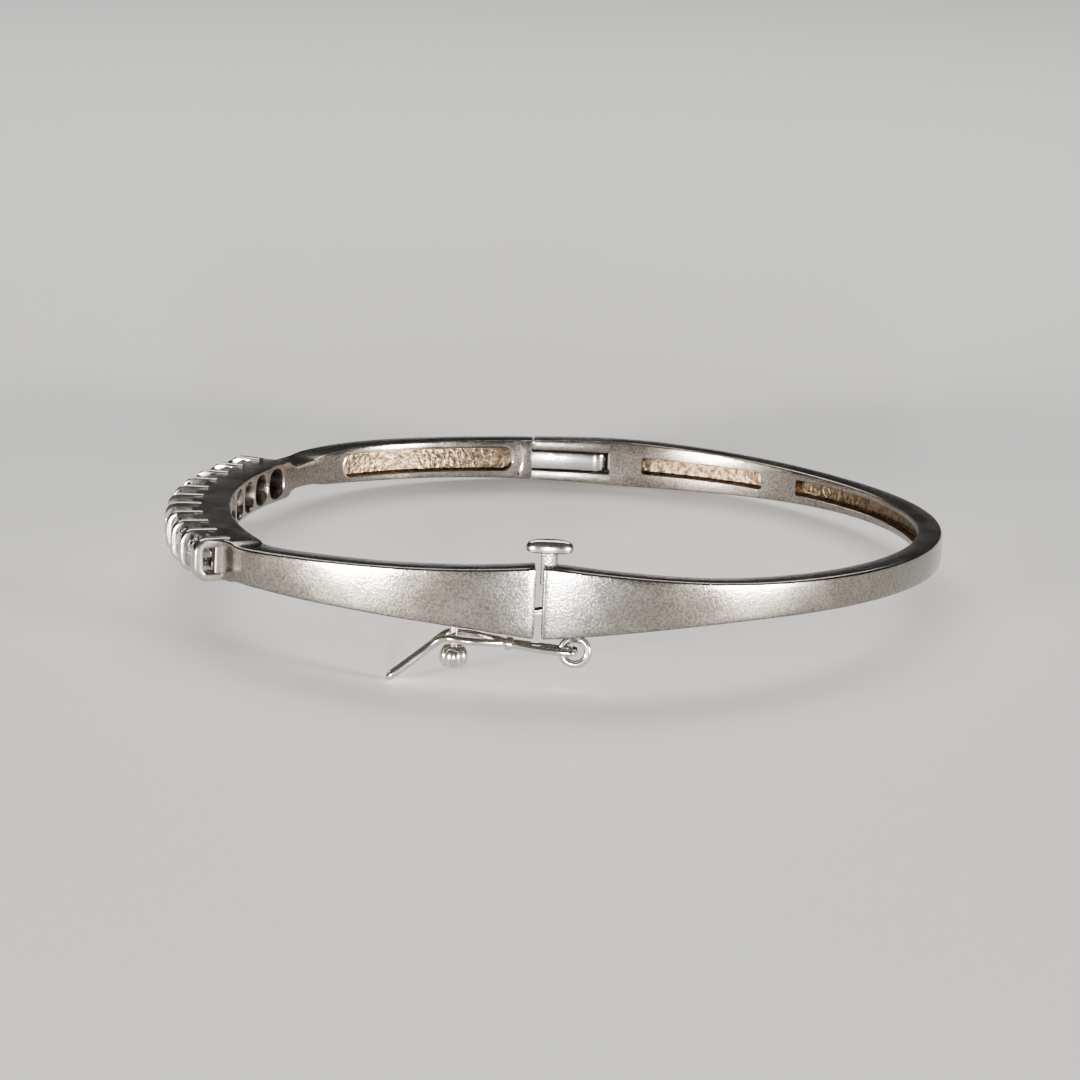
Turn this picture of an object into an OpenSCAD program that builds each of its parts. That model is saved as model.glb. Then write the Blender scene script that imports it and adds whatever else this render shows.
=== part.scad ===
// Hinged diamond bangle, lying on its side as it rests by itself: the safety clip's tip
// holds up the clasp side, and the far edge of the band lies on the surface.
// Seen from above: stones at the left (-X), plain back at the right (+X),
// clasp towards -Y, hinge towards +Y. Bearings turn anticlockwise from +X.

/* [Band] */
// Outside radius of the back and the hinge side
main_r = 29; // [28.5:0.1:29.5]
// Outside radius of the flatter front under the stones
front_r = 42.4; // [41.4:0.2:43.4]
// Outside radius of the bend between the front and the hinge side
far_bend_r = 22; // [21:0.5:23]
// Outside radius of the bend between the front and the clasp side
near_bend_r = 9; // [8.5:0.25:10]
// Distance from the middle to the front's outer face
front_reach = 26.8; // [26.6:0.1:27]
// Thickness of the band at the clasp and the hinge
band_t = 2.3; // [2.1:0.1:2.4]
// Thickness of the front under the stones
front_t = 2.85; // [2.7:0.05:2.95]
// Width of the rail under the stones
rail_w = 2.9; // [2.8:0.05:3.1]
// Depth of the hollows cast into the inner face
pocket_depth = 0.8; // [0.4:0.1:1.0]

/* [Stones] */
// Number of stones in the row
stone_count = 10; // [6:1:10]
// Distance between stones, measured along their girdles
stone_pitch = 3.4; // [3.35:0.05:3.45]
// Where the row's middle lies along the girdles, from the front's middle towards the hinge
row_shift = 1.1; // [0.8:0.1:1.3]
// Diameter of a stone
stone_d = 2.85; // [2.75:0.05:2.9]
// Height of the stones' tables above the band's outer face
table_rise = 1.65; // [1.6:0.05:1.9]
// Height of the bars above the band's outer face
bar_rise = 1.95; // [1.8:0.05:2.2]
// Thickness of the bars between the stones
bar_t = 0.72; // [0.6:0.02:0.74]
// Height of the window through the rail behind each stone
window_h = 2.2; // [1.8:0.1:2.2]

/* [Hinge] */
// Bearing of the hinge pin
hinge_bearing = 82; // [80:0.5:84]
// Radius of the hinge pin
pin_r = 0.4; // [0.35:0.01:0.45]
// Distance from the pin to the seam between the halves
seam_r = 5.2; // [4.8:0.1:5.6]
// Height of the hinge's tongue
tongue_h = 1.4; // [1.2:0.1:1.6]

/* [Clasp] */
// Place of the gap between the halves, along X
gap_x = -1.45; // [-1.6:0.05:-1.3]
// Width of that gap
gap_w = 0.5; // [0.5:0.05:0.6]
// Length of the thumb piece's head
head_l = 3.3; // [3:0.1:3.4]
// Width of the head
head_w = 1.6; // [1.4:0.1:1.8]
// Height of the head's flat underside above the band's middle
head_z = 3.4; // [3.3:0.05:3.6]

/* [Safety clip] */
// Thickness of the clip's wire
wire_d = 0.54; // [0.5:0.02:0.56]
// Outside radius of the eye ring that the clip hangs on
eye_r = 1.2; // [1.17:0.01:1.25]
// Radius of the ball that the clip snaps over
ball_r = 1; // [0.9:0.05:1]

/* [Resting] */
// Angle by which the bangle leans when it lies on its clip
lean = 4.303; // [0:0.001:8]
// Bearing that it leans towards
lean_bearing = 78.66; // [0:0.01:90]
// Place of the band's middle when it rests, over the middle of its outline
rest_x = -0.132; // [-2:0.001:2]
// The same along Y
rest_y = 0.143; // [-2:0.001:2]
// Height of the band's middle when it rests
rest_z = 3.943; // [3:0.001:5]

/* [Hidden] */
$fn = 64;

// Width of the band on the clasp side, from the front to the back
near_edge = [ // x, width
    [-27, 2.9], [-23.4, 2.9], [-22.8, 2.6], [-20.2, 2.77], [-18.4, 2.95], [-14.8, 3.23],
    [-12, 3.5], [-7.2, 4.05], [-3.8, 4.6], [-1.5, 5], [0, 4.85], [3, 4.25], [6.5, 3.55],
    [9.8, 3], [13.5, 2.6], [19.5, 2.35], [26, 2.25], [30, 2.25]];
// Width of the band on the hinge side
far_edge = [ // x, width
    [-27, 2.9], [-20.6, 2.9], [-20.1, 1.9], [-18.6, 1.9], [-17.4, 2.45], [-13.9, 2.85],
    [-8, 2.95], [-1.2, 3.15], [3.9, 3.48], [7, 3.55], [9.6, 3.42], [12.2, 3.25], [16.5, 2.88],
    [22, 2.4], [26, 2.25], [30, 2.25]];
// Hollows in the inner face of the back half
back_pockets = [ // start bearing, end bearing, height
    [-75, -53, 1.3], [-47, -16, 1.2], [-8, 42.6, 1.2], [50.4, 74.6, 1.3]];

// Arcs of the band in plan: centre and radius, outside and inside. The clasp side of the front
// half is flatter than the rest, and the band is thinnest at the back.
near_r = main_r + 4;
near_x = 0.35;
near_y = 3.95;
back_x = 0.45;
front_x = front_r - front_reach;
front_y = -2.5;
main_arc = [0, 0, main_r];
near_arc = [near_x, near_y, near_r];
front_arc = [front_x, front_y, front_r];
inner_main = [back_x, 0, main_r - band_t];
inner_near = [near_x, near_y, near_r - band_t];
inner_front = [front_x, front_y, front_r - front_t];
near_bend = bend(near_arc, front_arc, near_bend_r, -1);
far_bend = bend(main_arc, front_arc, far_bend_r, 1);
inner_near_bend = bend(inner_near, inner_front, near_bend_r - 2, -1);
inner_far_bend = bend(inner_main, inner_front, far_bend_r - 4, 1);
// Round-ended hollows in the inner face of the front half
front_pockets = [ // centre, radius of the face, start bearing, end bearing, height
    [0.95, 0.1, main_r - band_t, 98.8, 129.7, 1.9],
    [near_x, near_y, near_r - band_t, 236.7, 258, 1.9]];
tall = 8;
// The bends stand out by this much, so that they cross the long arcs cleanly
bend_out = 0.012;

// Hinge
mid_r = main_r - band_t / 2;
pin_x = mid_r * cos(hinge_bearing);
pin_y = mid_r * sin(hinge_bearing);
pin_h = 3.5;
knuckle_r = 1.1;
tongue_inset = 0.04;
run = 0.05;
slot_gap = 0.1;
slot_r = 1.45;

// Clasp, along X from the mouth of the back half's box
clasp_y = -27.66;
front_face_x = gap_x - gap_w / 2;
back_face_x = gap_x + gap_w / 2;
box_end_x = back_face_x + 5.8;
box_w = 1.5;
box_h = 3.1;
ledge_t = 0.55;
ledge_z = 1.1;
notch_w = 0.8;
notch_l = 1.15;
leaf_w = 1.1;
leaf_t = 0.3;
fold_x = box_end_x - 0.75;
fold_z = 0.6;
fold_r = 0.35;
leaf_z = 1.3;
stem_t = 0.5;
stem_l = 1.15;
stem_x = front_face_x + 0.3;
head_t = 0.9;

// Eye ring and clip
eye_x = 1.16;
eye_y = -28.1;
eye_z = -3.4;
eye_wire_r = 0.29;
ball_x = -7.14;
ball_y = -27.5;
ball_z = -4.15;
ball_h = 1.6;
post_r = 0.3;
clip_bearing = atan2(ball_y - eye_y, ball_x - eye_x);
wire_r = wire_d / 2;
// Line of the clip's wire on one side, from its bar in the eye ring to the tip
clip_line = [ // along, aside, height
    [0, 0.15, -3.4], [0.02, 0.38, -3.4], [0.2, 0.6, -3.4], [0.5, 0.65, -3.39],
    [1.2, 0.65, -3.35], [2.6, 0.5, -3.25], [4.1, 0.3, -3.1], [4.9, 0.3, -3.02],
    [5.7, 0.78, -2.93], [6.8, 1.28, -2.82], [7.8, 1.36, -2.75], [8.6, 1.14, -2.7], [9.2, 0.62, -2.9], [9.9, 0.45, -3.5], [11.2, 0.45, -4.6],
    [12.2, 0.45, -5.42], [12.58, 0.38, -5.73], [12.72, 0.13, -5.85]];
clip_sides = 8;
clip_steps = 2;

// Setting
window_out = 0.2;
end_open_w = 1.6;
end_open_h = 0.75;
stone_gap = 0.03;

// Brilliant cut, as shares of the girdle's radius
table_share = 0.56;
crown_share = 0.31;
girdle_share = 0.05;
pavilion_share = 0.86;
star_share = 0.8;
lower_share = 0.22;
girdle_rise = table_rise - crown_share * stone_d / 2;

function stone_name(i) = str("stone_", i < 10 ? "0" : "", i);

// A smooth run of values through a table's rows, for its first columns
function catmull(a, b, c, d, t) =
    b + (c - a) * t / 2 + (a * 2 - b * 5 + c * 4 - d) * t ^ 2 / 2
    + (b * 3 - a - c * 3 + d) * t ^ 3 / 2;
function row(table, i) = table[max(0, min(len(table) - 1, i))];
function smoothed(table, steps) = [
    for (i = [0:len(table) - 2], k = [0:steps - 1])
        catmull(row(table, i - 1), table[i], table[i + 1], row(table, i + 2), k / steps),
    table[len(table) - 1]];

// Bend that touches a side's arc and the front's arc: centre, radius, and the bearings at
// which it leaves them. The side is 1 towards the hinge and -1 towards the clasp.
function bend(long, front, r, side) =
    let (a = [long[0], long[1]], b = [front[0], front[1]], l = norm(b - a), ahead = (b - a) / l,
         x = (l ^ 2 + (long[2] - r) ^ 2 - (front[2] - r) ^ 2) / (2 * l),
         y = side * sqrt((long[2] - r) ^ 2 - x ^ 2),
         c = a + x * ahead + y * [-ahead[1], ahead[0]])
    [c[0], c[1], r, atan2(c[1] - a[1], c[0] - a[0]), atan2(c[1] - b[1], c[0] - b[0])];
function on_arc(arc, bearing) =
    [arc[0] + arc[2] * cos(bearing), arc[1] + arc[2] * sin(bearing), bearing];

// Place on the band's outer face: s runs along the girdles, from the front's middle
function place(s) =
    let (corner = s > 0 ? far_bend : near_bend, girdle_r = front_r + girdle_rise,
         over = abs(s) - girdle_r * (180 - abs(corner[4])) * PI / 180)
    over <= 0
        ? on_arc(front_arc, 180 - s / girdle_r * 180 / PI)
        : on_arc(corner, sign(s) * (abs(corner[4])
            - over / (corner[2] + girdle_rise) * 180 / PI));

module on_face(s) {
    p = place(s);
    translate([p[0], p[1], 0]) rotate(p[2]) children();
}

module disc(arc) {
    translate([arc[0], arc[1]]) circle(arc[2], $fn = 180);
}

// Outline in plan inside a set of arcs and its bends
module outline(main, near, front, bends) {
    difference() {
        intersection() {
            union() {
                disc(main);
                intersection() {
                    disc(near);
                    translate([gap_x - 40, -40]) square(40);
                }
            }
            disc(front);
        }
        for (b = bends) polygon([
            [b[0], b[1]],
            [b[0] + 30 * cos(b[3]), b[1] + 30 * sin(b[3])],
            [b[0] + 30 * cos(b[4]), b[1] + 30 * sin(b[4])]]);
    }
    for (b = bends)
        translate(bend_out * [cos((b[3] + b[4]) / 2), sin((b[3] + b[4]) / 2)]) disc(b);
}

module band() {
    linear_extrude(tall, center = true) difference() {
        outline(main_arc, near_arc, front_arc, [near_bend, far_bend]);
        outline(inner_main, inner_near, inner_front, [inner_near_bend, inner_far_bend]);
    }
}

// Everything between the edges of the band on one side of the X axis
module edge_slab(table, side) {
    line = smoothed(table, 2);
    outline = concat([for (p = line) [p[0], p[1] / 2]],
                     [for (i = [len(line) - 1:-1:0]) [line[i][0], -line[i][1] / 2]]);
    translate([0, side > 0 ? 32 : 0.01, 0]) rotate([90, 0, 0]) linear_extrude(32) polygon(outline);
}

module between_edges() {
    edge_slab(far_edge, 1);
    edge_slab(near_edge, -1);
}

// A hollow in an inner face of radius r, between two bearings
module pocket(r, from, to, h) {
    rotate(from) rotate_extrude(angle = to - from, $fn = 180)
        translate([r - 1, -h / 2]) square([1 + pocket_depth, h]);
}

// Its round ends are a little wider, so that they cross its edges cleanly
module round_pocket(r, from, to, h) {
    inset = h / 2 / r * 180 / PI;
    pocket(r, from + inset, to - inset, h);
    for (a = [from + inset, to - inset])
        rotate(a) translate([r - 1, 0, 0]) rotate([0, 90, 0])
            cylinder(r = h / 2 + 0.02, h = 0.9 + pocket_depth);
}

// Oval window through the rail behind a stone
module window() {
    for (side = [-1, 1]) translate([-front_t - 0.5, side * window_out, 0]) rotate([0, 90, 0])
        cylinder(d = window_h, h = front_t + 1);
}

// Groove in the bars that grips a stone's girdle
module girdle_groove() {
    h = 0.3;
    translate([girdle_rise - girdle_share * stone_d / 4 - h / 2, 0, 0]) rotate([0, 90, 0])
        cylinder(r = stone_d / 2 + stone_gap, h = h);
}

module each_stone() {
    for (i = [1:stone_count])
        on_face(row_shift + (i - 0.5 - stone_count / 2) * stone_pitch) children();
}

// Bar between stones: a round-shouldered arch over the rail with a leg down each side
module bar(t) {
    w = rail_w + 0.2;
    shoulder = 1;
    leg = 0.7;
    translate([0, t / 2, 0]) rotate([90, 0, 0]) linear_extrude(t) {
        translate([-leg, -w / 2]) square([leg + bar_rise - shoulder, w]);
        translate([0, -w / 2 + shoulder]) square([bar_rise, w - 2 * shoulder]);
        for (side = [-1, 1]) translate([bar_rise - shoulder, side * (w / 2 - shoulder)])
            circle(shoulder);
    }
}

// Bar at an end of the row, open under its arch
module end_bar() {
    t = bar_t + 0.2;
    difference() {
        bar(t);
        translate([0.05, -t, -end_open_w / 2]) cube([end_open_h, 2 * t, end_open_w]);
    }
}

module stone_row_bars() {
    for (i = [0:stone_count])
        on_face(row_shift + (i - stone_count / 2) * stone_pitch)
            if (i == 0 || i == stone_count) end_bar();
            else bar(bar_t);
}

module hinge_axis(r, h) {
    translate([pin_x, pin_y, -h / 2]) cylinder(r = r, h = h);
}

// Tongue of the hinge: a stretch of the band, cut to its height, with a knuckle on the pin
module hinge_tongue() {
    rotate(hinge_bearing) rotate_extrude(angle = 13, $fn = 180)
        translate([main_r - band_t + tongue_inset, -tongue_h / 2])
            square([band_t - 2 * tongue_inset, tongue_h]);
    hinge_axis(knuckle_r, tongue_h);
}

module fixed_leaf() {
    translate([0, clasp_y + leaf_w / 2, 0]) rotate([90, 0, 0]) linear_extrude(leaf_w)
        polygon([[front_face_x - 0.6, -0.95], [front_face_x, -0.95], [fold_x, fold_z - fold_r],
                 [fold_x, fold_z], [front_face_x, -0.55], [front_face_x - 0.6, -0.55]]);
    translate([fold_x, clasp_y + leaf_w / 2, fold_z]) rotate([90, 0, 0])
        cylinder(r = fold_r, h = leaf_w);
}

module ball_catch() {
    translate([ball_x, ball_y, ball_z]) {
        cylinder(r = post_r, h = -ball_z - 1.7);
        rotate_extrude() intersection() {
            circle(ball_r);
            translate([0, -ball_h / 2]) square([ball_r, ball_h]);
        }
    }
}

module front_half() {
    color("Gainsboro") {
        difference() {
            intersection() {
                band();
                between_edges();
            }
            hinge_axis(seam_r + run, tall);
            translate([pin_x, 0, -tall / 2]) cube([40, 40, tall]);
            translate([front_face_x, -40, -tall / 2]) cube([60, 41, tall]);
            for (p = front_pockets) translate([p[0], p[1], 0]) round_pocket(p[2], p[3], p[4], p[5]);
            each_stone() window();
        }
        difference() {
            stone_row_bars();
            each_stone() girdle_groove();
        }
        difference() {
            hinge_tongue();
            hinge_axis(pin_r + run, tall);
        }
        fixed_leaf();
        ball_catch();
    }
}

module back_half() {
    color("Silver") {
        difference() {
            intersection() {
                band();
                between_edges();
            }
            difference() {
                translate([-40, 0, -tall / 2]) cube([40 + pin_x, 40, tall]);
                hinge_axis(seam_r - run, tall);
            }
            translate([-40, -40, -tall / 2]) cube([40 + back_face_x, 41, tall]);
            hinge_axis(pin_r + 0.01, tall);
            hinge_slot();
            clasp_box();
            for (p = back_pockets)
                translate([back_x, 0, 0]) pocket(main_r - band_t, p[0], p[1], p[2]);
        }
        eye_ring();
    }
}

module hinge_slot() {
    h = tongue_h + 2 * slot_gap;
    hinge_axis(slot_r, h);
    translate([-20, 20, -h / 2]) cube([20 + pin_x, 20, h]);
}

module clasp_box() {
    translate([back_face_x + ledge_t, clasp_y - box_w / 2, -box_h / 2])
        cube([box_end_x - back_face_x - ledge_t, box_w, box_h]);
    translate([back_face_x - 1, clasp_y - box_w / 2, -box_h / 2])
        cube([1.1 + ledge_t, box_w, box_h / 2 + ledge_z]);
    translate([back_face_x - 1, clasp_y - notch_w / 2, 0]) cube([1 + notch_l, notch_w, 4]);
}

module eye_ring() {
    translate([eye_x, eye_y, eye_z]) {
        rotate(clip_bearing - 180) rotate([90, 0, 0]) rotate_extrude()
            translate([eye_r - eye_wire_r, 0]) circle(eye_wire_r);
        translate([0, 0, eye_r - 0.35]) cylinder(r1 = 0.42, r2 = 0.3, h = 0.6);
    }
}

module hinge_pin() {
    color("Silver") hinge_axis(pin_r, pin_h);
}

// Thumb piece: the free leaf of the clasp's spring, its stem and its head
module thumb_piece() {
    color("WhiteSmoke") {
        translate([0, clasp_y + leaf_w / 2, 0]) rotate([90, 0, 0]) linear_extrude(leaf_w)
            polygon([[back_face_x + ledge_t + 0.05, leaf_z - leaf_t / 2],
                     [fold_x - 0.5, fold_z + 0.1], [fold_x - 0.5, fold_z + 0.1 + leaf_t],
                     [back_face_x + ledge_t + 0.05, leaf_z + leaf_t / 2]]);
        translate([stem_x, clasp_y - stem_t / 2, leaf_z - leaf_t / 2])
            cube([stem_l, stem_t, head_z + 0.1 - leaf_z + leaf_t / 2]);
        thumb_head();
    }
}

module thumb_head() {
    dome_r = 1.15;
    translate([stem_x + stem_l / 2, clasp_y, head_z]) intersection() {
        linear_extrude(head_t) {
            for (side = [-1, 1]) translate([side * (head_l - head_w) / 2, 0]) circle(head_w / 2);
            square([head_l - head_w, head_w], center = true);
        }
        translate([-head_l, 0, head_t - dome_r]) rotate([0, 90, 0])
            cylinder(r = dome_r, h = 2 * head_l);
    }
}

// Closed wire swept along its line: out along one side, round the tip and back
function sweep_rings(path, r, sides) = [
    for (i = [0:len(path) - 1])
        let (ahead = path[(i + 1) % len(path)], behind = path[(i + len(path) - 1) % len(path)],
             t = (ahead - behind) / norm(ahead - behind),
             flat = cross(t, [0, 0, 1]), u = flat / norm(flat), w = cross(u, t))
        for (k = [0:sides - 1])
            path[i] + r * (cos(360 * k / sides) * u + sin(360 * k / sides) * w)];
function sweep_faces(n, sides) = [
    for (i = [0:n - 1], k = [0:sides - 1])
        let (j = (i + 1) % n, m = (k + 1) % sides)
        each [[i * sides + k, i * sides + m, j * sides + m],
              [i * sides + k, j * sides + m, j * sides + k]]];

module safety_clip() {
    half = smoothed(clip_line, clip_steps);
    path = concat(half, [for (i = [len(half) - 1:-1:0]) [half[i][0], -half[i][1], half[i][2]]]);
    color("LightGray") translate([eye_x, eye_y, 0]) rotate(clip_bearing) {
        polyhedron(sweep_rings(path, wire_r, clip_sides), sweep_faces(len(path), clip_sides));
        translate([4.25, 0, -3.06]) rotate([0, 90, 0]) cylinder(r = 0.62, h = 0.55);
    }
}

// Round brilliant, girdle's top at z = 0
module brilliant(d) {
    r = d / 2;
    table_r = table_share * r;
    crown = crown_share * r;
    girdle = -girdle_share * r;
    depth = girdle - pavilion_share * r;
    star_r = star_share * r;
    star_z = crown * (r - star_r * cos(22.5)) / (r - table_r);
    low_r = lower_share * r;
    low_z = girdle + (depth - girdle) * (r - low_r * cos(22.5)) / r;
    points = concat(
        [for (i = [0:7]) [table_r * cos(45 * i), table_r * sin(45 * i), crown]],
        [for (i = [0:7]) [star_r * cos(45 * i + 22.5), star_r * sin(45 * i + 22.5), star_z]],
        [for (j = [0:15]) [r * cos(22.5 * j), r * sin(22.5 * j), 0]],
        [for (j = [0:15]) [r * cos(22.5 * j), r * sin(22.5 * j), girdle]],
        [for (i = [0:7]) [low_r * cos(45 * i + 22.5), low_r * sin(45 * i + 22.5), low_z]],
        [[0, 0, depth]]);
    star = 8;
    top = 16;
    under = 32;
    low = 48;
    culet = 56;
    faces = concat(
        [[for (i = [7:-1:0]) i]],
        [for (i = [0:7]) [i, (i + 1) % 8, star + i]],
        [for (i = [0:7]) each [[i, star + i, top + 2 * i], [i, top + 2 * i, star + (i + 7) % 8]]],
        [for (i = [0:7]) each [[star + i, top + 2 * i + 1, top + 2 * i],
                               [star + i, top + (2 * i + 2) % 16, top + 2 * i + 1]]],
        [for (j = [0:15]) each [[top + j, top + (j + 1) % 16, under + j],
                                [top + (j + 1) % 16, under + (j + 1) % 16, under + j]]],
        [for (i = [0:7]) each [[low + i, under + 2 * i, under + 2 * i + 1],
                               [low + i, under + 2 * i + 1, under + (2 * i + 2) % 16]]],
        [for (i = [0:7]) each [[culet, under + 2 * i, low + i], [culet, low + (i + 7) % 8, under + 2 * i]]]);
    polyhedron(points, faces);
}

module stone(i) {
    color("AliceBlue") on_face(row_shift + (i - 0.5 - stone_count / 2) * stone_pitch)
        translate([girdle_rise, 0, 0]) rotate([0, 90, 0]) brilliant(stone_d);
}

module at_rest() {
    translate([rest_x, rest_y, rest_z])
        rotate(a = lean, v = [-sin(lean_bearing), cos(lean_bearing), 0]) children();
}

at_rest() front_half();
at_rest() back_half();
at_rest() hinge_pin();
at_rest() thumb_piece();
at_rest() safety_clip();
for (i = [1:stone_count])
    at_rest() stone(i);
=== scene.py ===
import math
from collections import namedtuple

import bmesh
import bpy
import numpy as np
from mathutils import Matrix, Vector


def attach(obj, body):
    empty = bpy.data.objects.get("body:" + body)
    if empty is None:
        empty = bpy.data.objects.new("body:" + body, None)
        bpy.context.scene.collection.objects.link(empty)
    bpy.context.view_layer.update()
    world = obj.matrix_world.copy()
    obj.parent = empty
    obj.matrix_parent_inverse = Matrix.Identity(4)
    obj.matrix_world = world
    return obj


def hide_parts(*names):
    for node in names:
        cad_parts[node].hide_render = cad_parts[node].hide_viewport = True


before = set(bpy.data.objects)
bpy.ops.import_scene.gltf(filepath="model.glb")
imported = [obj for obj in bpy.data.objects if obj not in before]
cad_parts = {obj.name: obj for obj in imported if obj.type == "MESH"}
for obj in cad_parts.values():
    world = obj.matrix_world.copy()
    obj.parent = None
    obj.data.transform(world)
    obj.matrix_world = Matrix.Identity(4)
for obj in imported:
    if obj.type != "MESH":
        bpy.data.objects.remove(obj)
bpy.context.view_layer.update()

# Sizes of the bangle are in millimetres, in its own frame: stones at -X, clasp at -Y, hinge at +Y.
# Heights are above the band's middle. Bearings turn anticlockwise from +X, and are in degrees,
# but in radians in a Bend. Places along the band are measured on its outer face, from the
# front's middle towards the hinge.

MM = 0.001  # a millimetre in metres

Arc = namedtuple("Arc", "x y r")
Bend = namedtuple("Bend", "x y r side_bearing front_bearing")
Hollow = namedtuple("Hollow", "start end height round_ends")

# Band

MAIN_R = 29.0  # outside radius of the back and the hinge side
NEAR_R = MAIN_R + 4  # outside radius of the flatter clasp side
FRONT_R = 42.4  # outside radius of the front under the stones
FRONT_REACH = 26.8  # from the middle to the front's outer face
FAR_BEND_R = 22.0  # outside radius of the bend between the front and the hinge side
NEAR_BEND_R = 9.0  # outside radius of the bend between the front and the clasp side
BAND_T = 2.3  # thickness of the band at the clasp and the hinge
FRONT_T = 2.85  # thickness of the front under the stones
HOLLOW_D = 0.8  # depth of the hollows in the inner face
CROWN = 0.05  # how far the outer face stands out along its middle
OUTER_EDGE_R = 0.17  # rounding of the outer face's edges
INNER_EDGE_R = 0.12  # rounding of the inner face's edges

MAIN = Arc(0, 0, MAIN_R)
NEAR = Arc(0.35, 3.95, NEAR_R)
FRONT = Arc(FRONT_R - FRONT_REACH, -2.5, FRONT_R)
INNER_MAIN = Arc(0.45, 0, MAIN_R - BAND_T)
INNER_NEAR = Arc(NEAR.x, NEAR.y, NEAR_R - BAND_T)
INNER_FRONT = Arc(FRONT.x, FRONT.y, FRONT_R - FRONT_T)

# Width of the band on the clasp side: place along X, width

NEAR_EDGE = [(-27, 2.9), (-23.4, 2.9), (-22.8, 2.6), (-20.2, 2.77), (-18.4, 2.95), (-14.8, 3.23),
             (-12, 3.5), (-7.2, 4.05), (-3.8, 4.6), (-1.5, 5), (0, 4.85), (3, 4.25), (6.5, 3.55),
             (9.8, 3), (13.5, 2.6), (19.5, 2.35), (26, 2.25), (30, 2.25)]

# The same on the hinge side

FAR_EDGE = [(-27, 2.9), (-20.6, 2.9), (-20.1, 1.9), (-18.6, 1.9), (-17.4, 2.45), (-13.9, 2.85),
            (-8, 2.95), (-1.2, 3.15), (3.9, 3.48), (7, 3.55), (9.6, 3.42), (12.2, 3.25), (16.5, 2.88),
            (22, 2.4), (26, 2.25), (30, 2.25)]

# Setting

STONES = 10
PITCH = 3.4  # distance between stones, along their girdles
SHIFT = 1.1  # place of the row's middle, along the girdles
STONE_D = 2.85  # diameter of a stone
TABLE_RISE = 1.65  # height of the stones' tables above the outer face
CROWN_SHARE = 0.31  # height of a stone's crown, as a share of its radius
GIRDLE_RISE = TABLE_RISE - CROWN_SHARE * STONE_D / 2
RAIL_W = 2.9  # width of the rail under the stones
BAR_W = RAIL_W + 0.2  # width of the bars between the stones
BAR_RISE = 1.95  # height of the bars above the outer face
BAR_T = 0.72  # thickness of the bars
END_BAR_T = BAR_T + 0.2  # thickness of the bars at the row's ends
BAR_LEG = 0.7  # how far a bar's legs reach inside the outer face
SHOULDER_R = 1.0  # outside radius of a bar's shoulders
BAR_D = 0.72  # depth of a bar's wire, from its outer face to its inner one

# Hinge

HINGE = 82  # bearing of the pin
SEAM_R = 5.2  # distance from the pin to the seam between the halves
SEAM_RUN = 0.025  # room on each side of the seam
SEAM_W = 3.12  # width of the front half at the seam
SEAM_START = 93.9  # bearing where the front half begins to bend into the seam
FORK_W = 3.2  # width of the fork at the seam
FORK_START = 91.6  # bearing where the fork begins to bend into the seam
FORK_END = 79.25  # bearing where the fork meets the rest of the back half
TONGUE_START = 94.2  # bearing of the tongue's root
TONGUE_H = 1.4  # height of the tongue
TONGUE_INSET = 0.04  # how far the tongue lies inside the band's faces
KNUCKLE_R = 1.1  # radius of the tongue's round end
SLOT_GAP = 0.1  # room above and below the tongue

# Clasp

GAP_X = -1.45  # middle of the gap between the halves
GAP_W = 0.5  # width of that gap
GAP_FRONT = GAP_X - GAP_W / 2
GAP_BACK = GAP_X + GAP_W / 2
GAP_CLEAR = 0.5  # distance from the gap to the first section square to the band
CLASP_Y = -27.66  # middle of the clasp
STEM_X = GAP_FRONT + 0.3  # where the stem begins
STEM_L = 1.15  # size of the stem along X
STEM_T = 0.5  # size of the stem along Y
STEM_LOW = 1.15  # height of the stem's lower end
STEM_TOP = 3.45  # height of the stem's upper end
HEAD_Z = 3.4  # height of the head's flat underside
HEAD_L = 3.3  # length of the head
HEAD_W = 1.6  # width of the head
HEAD_POWER = 2.3  # power of the oval that is the head's outline
LEAF_W = 1.06  # width of the clasp's leaves

# Safety clip

EYE = (1.16, -28.1, -3.4)  # middle of the eye ring
EYE_R = 0.91  # radius of the eye ring's middle line
EYE_WIRE_R = 0.28  # radius of the eye ring's wire
BALL = (-7.14, -27.5, -4.15)  # middle of the ball
WIRE_R = 0.27  # radius of the clip's wire

# Line of the clip's wire on one side, from the eye ring to the tip: along, aside, height

CLIP = [(0, 0.15, -3.4), (0.02, 0.38, -3.4), (0.2, 0.6, -3.4), (0.5, 0.65, -3.39), (1.2, 0.65, -3.35),
        (2.6, 0.5, -3.25), (4.1, 0.3, -3.1), (4.9, 0.3, -3.02), (5.7, 0.78, -2.93), (6.8, 1.28, -2.82),
        (7.8, 1.36, -2.75), (8.6, 1.14, -2.7), (9.2, 0.62, -2.9), (9.9, 0.45, -3.5), (11.2, 0.45, -4.6),
        (12.2, 0.45, -5.42), (12.58, 0.38, -5.73), (12.72, 0.13, -5.85)]

# Rest: the bangle leans on its clip

LEAN = 4.303  # angle by which it leans
LEAN_BEARING = 78.66  # bearing that it leans towards
REST = (-0.132, 0.143, 3.943)  # place of the band's middle
lean_way = math.radians(LEAN_BEARING)
lean_axis = Vector((-math.sin(lean_way), math.cos(lean_way), 0))
AT_REST = (Matrix.Scale(MM, 4) @ Matrix.Translation(REST)
           @ Matrix.Rotation(math.radians(LEAN), 4, lean_axis))


# Smooth lines

def unit(vectors):
    """The same ways with a length of one, for one vector or for each row of several."""
    return vectors / np.linalg.norm(vectors, axis=-1, keepdims=True)


def catmull(a, b, c, d, share):
    """Point of a smooth curve through four, between b and c."""
    return (b + (c - a) * share / 2 + (a * 2 - b * 5 + c * 4 - d) * share * share / 2
            + (b * 3 - a - c * 3 + d) * share ** 3 / 2)


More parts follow.
